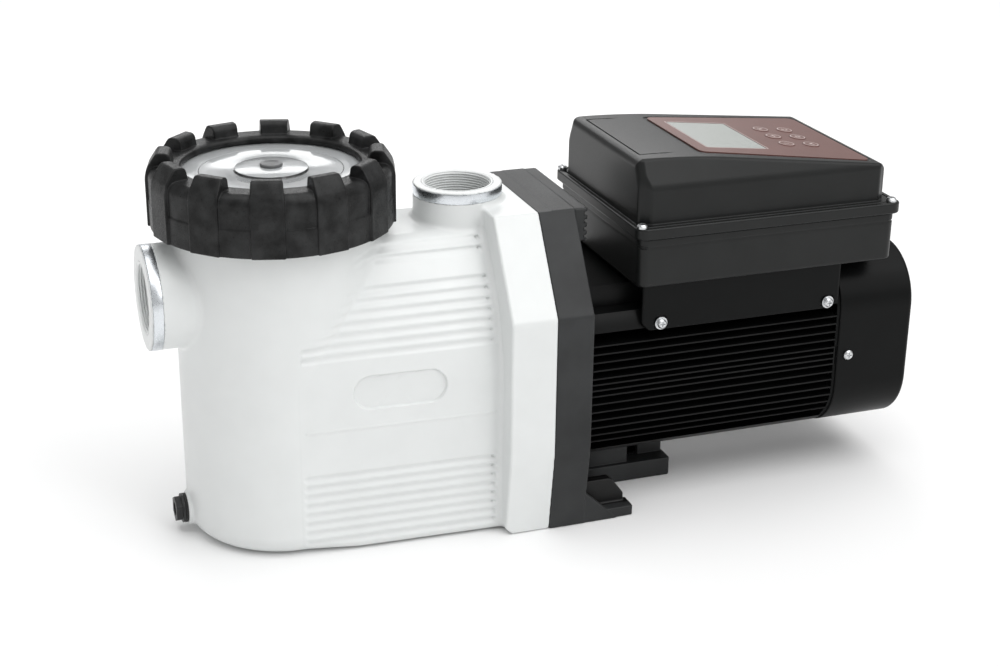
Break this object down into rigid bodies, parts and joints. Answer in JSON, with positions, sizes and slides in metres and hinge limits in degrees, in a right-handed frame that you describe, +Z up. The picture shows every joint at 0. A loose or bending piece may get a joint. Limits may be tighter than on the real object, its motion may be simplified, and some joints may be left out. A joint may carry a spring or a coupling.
{
  "type": "pool pump",
  "caption": "Self-priming pool pump with a lidded strainer barrel, a wet end, a close-coupled finned motor and a sloping speed control box.",
  "frame": {"origin": "on the ground, on the vertical axis of the strainer barrel", "axes": "+X along the shaft from the strainer to the motor, +Z up along the strainer and discharge axes, +Y away from the badge side"},
  "size_m": [0.699, 0.2306, 0.3426],
  "materials": {
    "white_moulding": "satin",
    "chrome_trim": "polished",
    "clear_lid": "polished",
    "grey_boss": "satin",
    "black_grip": "moulded texture",
    "black_rubber": "matte",
    "basket_plastic": "satin",
    "stainless": "brushed",
    "black_plug": "satin",
    "hydraulic_plastic": "satin",
    "seal_carbon": "matte",
    "seal_ceramic": "polished",
    "bracket_black": "fine moulded texture",
    "motor_black": "black powder coat",
    "lamination": "as punched",
    "copper_winding": "enamelled",
    "bearing_steel": "ground",
    "fan_plastic": "satin",
    "box_grey": "fine moulded texture",
    "panel_red": "satin film",
    "window_grey": "polished",
    "button_film": "satin film",
    "board_green": "solder mask",
    "capacitor_blue": "sleeved"
  },
  "bodies": {
    "pump": {"pump_housing": "white_moulding", "suction_band": "chrome_trim", "discharge_band": "chrome_trim", "lid_seal": "black_rubber", "diffuser": "hydraulic_plastic", "seal_seat": "seal_ceramic", "casing_seal": "black_rubber", "bracket": "bracket_black", "casing_bolts": "stainless", "shield_bolts": "stainless", "motor_support": "bracket_black", "front_shield": "motor_black", "motor_housing": "motor_black", "stator_core": "lamination", "stator_windings": "copper_winding", "front_bearing_outer": "bearing_steel", "rear_bearing_outer": "bearing_steel", "wave_washer": "stainless", "rear_shield": "motor_black", "fan_cover": "box_grey", "fan_cover_screws": "stainless", "adaptor_frame": "box_grey", "adaptor_screws": "stainless", "box_base": "box_grey", "box_gasket": "black_rubber", "box_lid": "box_grey", "box_lid_screws": "stainless", "display_panel": "panel_red", "display_window": "window_grey", "control_board": "board_green", "power_board": "board_green", "capacitors": "capacitor_blue", "gland_body": "black_plug", "gland_nut": "black_plug", "gland_seal": "black_rubber"},
    "lid_lift": {"lid": "clear_lid", "lid_boss": "grey_boss"},
    "lid_turn": {"lid_ring": "black_grip"},
    "basket": {"strainer_basket": "basket_plastic"},
    "bail": {"basket_handle": "stainless"},
    "drain_lift": {"drain_seal": "black_rubber"},
    "drain_turn": {"drain_plug": "black_plug"},
    "rotor": {"impeller": "hydraulic_plastic", "impeller_nut": "stainless", "seal_head": "seal_carbon", "seal_spring": "stainless", "rotor_core": "lamination", "shaft": "bearing_steel", "front_bearing_inner": "bearing_steel", "front_bearing_balls": "bearing_steel", "rear_bearing_inner": "bearing_steel", "rear_bearing_balls": "bearing_steel", "fan": "fan_plastic"},
    "key_1": {"button_1": "button_film"},
    "key_2": {"button_2": "button_film"},
    "key_3": {"button_3": "button_film"},
    "key_4": {"button_4": "button_film"},
    "key_5": {"button_5": "button_film"},
    "key_6": {"button_6": "button_film"}
  },
  "joints": [
    {"name": "lid_lift", "type": "slide", "parent": "pump", "child": "lid_lift", "axis": [0, 0, 1], "range_m": [0, 0.012]},
    {"name": "ring_turn", "type": "hinge", "parent": "lid_lift", "child": "lid_turn", "pos_m": [0, 0, 0.3], "axis": [0, 0, 1], "range_deg": [0, 540]},
    {"name": "basket_lift", "type": "slide", "parent": "pump", "child": "basket", "axis": [0, 0, 1], "range_m": [0, 0.1]},
    {"name": "bail_swing", "type": "hinge", "parent": "basket", "child": "bail", "pos_m": [0, 0, 0.1926], "axis": [0, -1, 0], "range_deg": [0, 175]},
    {"name": "drain_lift", "type": "slide", "parent": "pump", "child": "drain_lift", "axis": [-1, 0, 0], "range_m": [0, 0.009]},
    {"name": "drain_turn", "type": "hinge", "parent": "drain_lift", "child": "drain_turn", "pos_m": [-0.09, 0, 0.021], "axis": [-1, 0, 0], "range_deg": [0, 1800]},
    {"name": "rotor_spin", "type": "hinge", "parent": "pump", "child": "rotor", "pos_m": [0.36, 0, 0.122], "axis": [1, 0, 0], "continuous": true},
    {"name": "key_1_press", "type": "slide", "parent": "pump", "child": "key_1", "axis": [-0.1123, 0, -0.9937], "range_m": [0, 0.0008], "stiffness_N_per_m": 500},
    {"name": "key_2_press", "type": "slide", "parent": "pump", "child": "key_2", "axis": [-0.1123, 0, -0.9937], "range_m": [0, 0.0008], "stiffness_N_per_m": 500},
    {"name": "key_3_press", "type": "slide", "parent": "pump", "child": "key_3", "axis": [-0.1123, 0, -0.9937], "range_m": [0, 0.0008], "stiffness_N_per_m": 500},
    {"name": "key_4_press", "type": "slide", "parent": "pump", "child": "key_4", "axis": [-0.1123, 0, -0.9937], "range_m": [0, 0.0008], "stiffness_N_per_m": 500},
    {"name": "key_5_press", "type": "slide", "parent": "pump", "child": "key_5", "axis": [-0.1123, 0, -0.9937], "range_m": [0, 0.0008], "stiffness_N_per_m": 500},
    {"name": "key_6_press", "type": "slide", "parent": "pump", "child": "key_6", "axis": [-0.1123, 0, -0.9937], "range_m": [0, 0.0008], "stiffness_N_per_m": 500}
  ],
  "couplings": [
    {"joint": "lid_lift", "follows": "ring_turn", "m_per_rad": 0.0012732},
    {"joint": "drain_lift", "follows": "drain_turn", "m_per_rad": 0.00028648}
  ]
}
